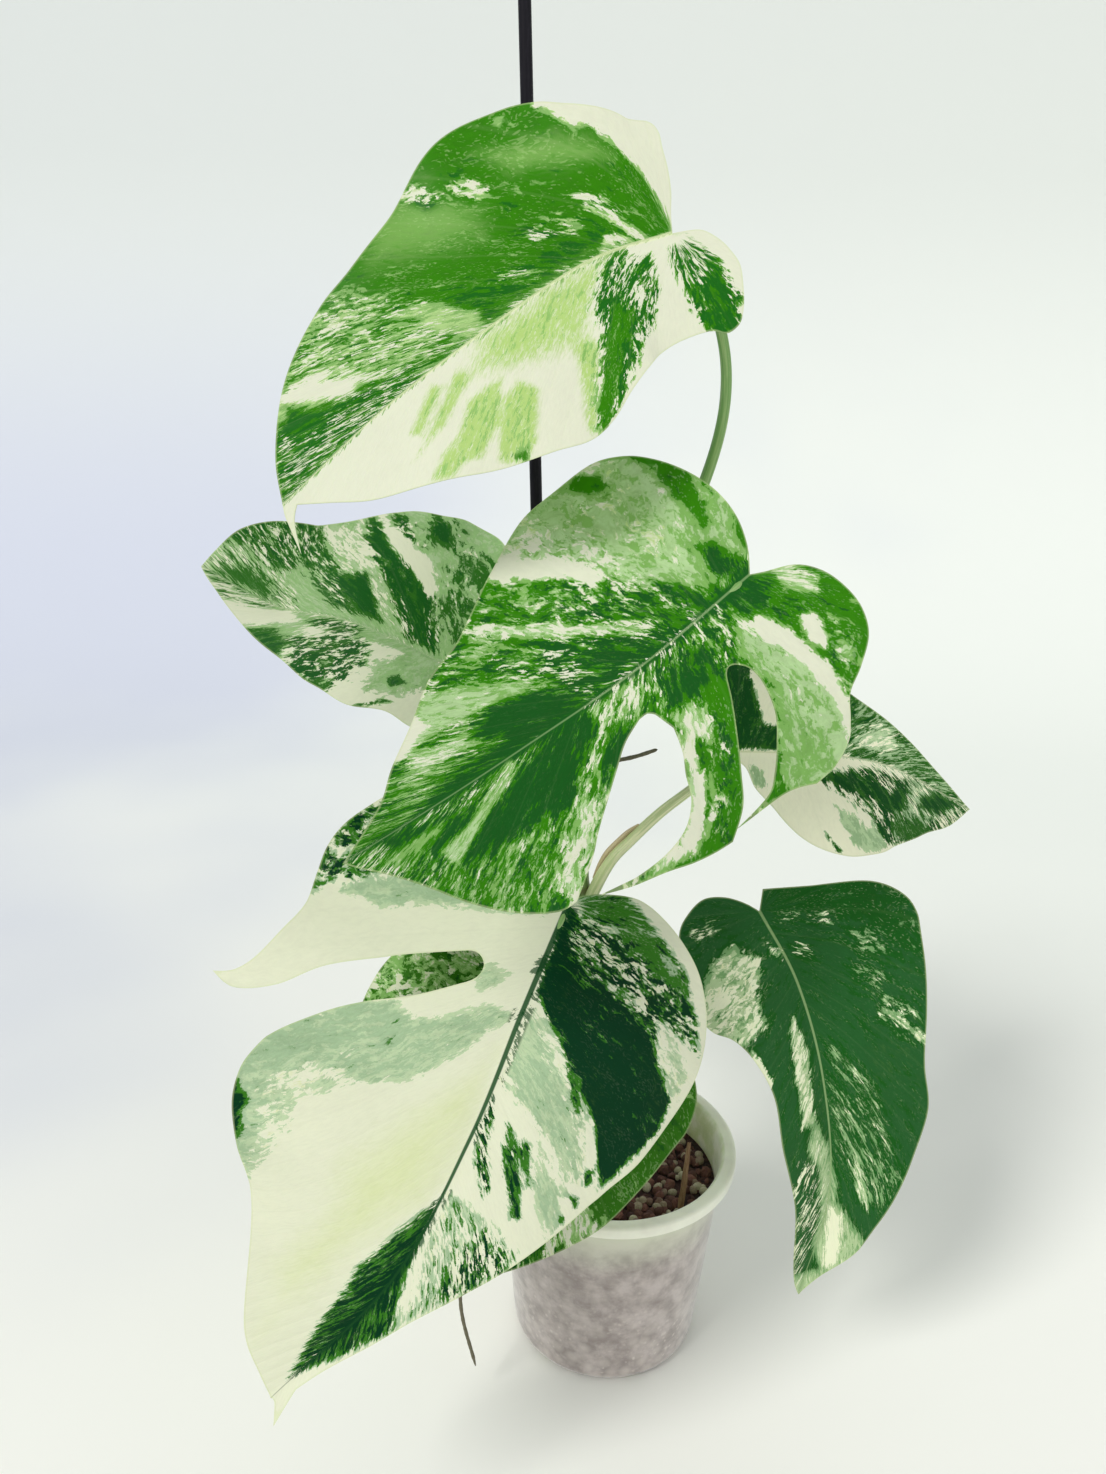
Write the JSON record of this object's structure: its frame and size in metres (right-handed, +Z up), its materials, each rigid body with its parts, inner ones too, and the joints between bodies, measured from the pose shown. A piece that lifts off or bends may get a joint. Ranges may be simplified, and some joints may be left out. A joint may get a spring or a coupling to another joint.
{
  "type": "potted monstera",
  "caption": "Young variegated climbing houseplant with broad split leaves, green and cream, on a stem tied to a thin stake in a milky nursery pot full of chunky soil.",
  "frame": {"origin": "middle of the pot's underside, on the surface it stands on", "axes": "+Z up along the pot's axis, the plant's face towards -Y, +X to the right as one looks at that face"},
  "size_m": [0.3727, 0.2509, 0.6037],
  "materials": {
    "pot": "satin",
    "soil": "matte",
    "stake": "satin",
    "stem": "satin",
    "petiole": "satin",
    "leaf": "satin",
    "sheath": "matte",
    "root": "matte"
  },
  "bodies": {
    "root": {"pot": "pot", "soil": "soil", "stake": "stake", "main_stem": "stem", "dry_sheath": "sheath", "aerial_root_side": "root", "aerial_root_low": "root", "leaf_a": "leaf", "petiole_a": "petiole", "leaf_b": "leaf", "petiole_b": "petiole", "leaf_c": "leaf", "petiole_c": "petiole", "leaf_d": "leaf", "petiole_d": "petiole", "leaf_e": "leaf", "petiole_e": "petiole", "leaf_f": "leaf", "petiole_f": "petiole", "leaf_g": "leaf", "petiole_g": "petiole"}
  },
  "joints": []
}
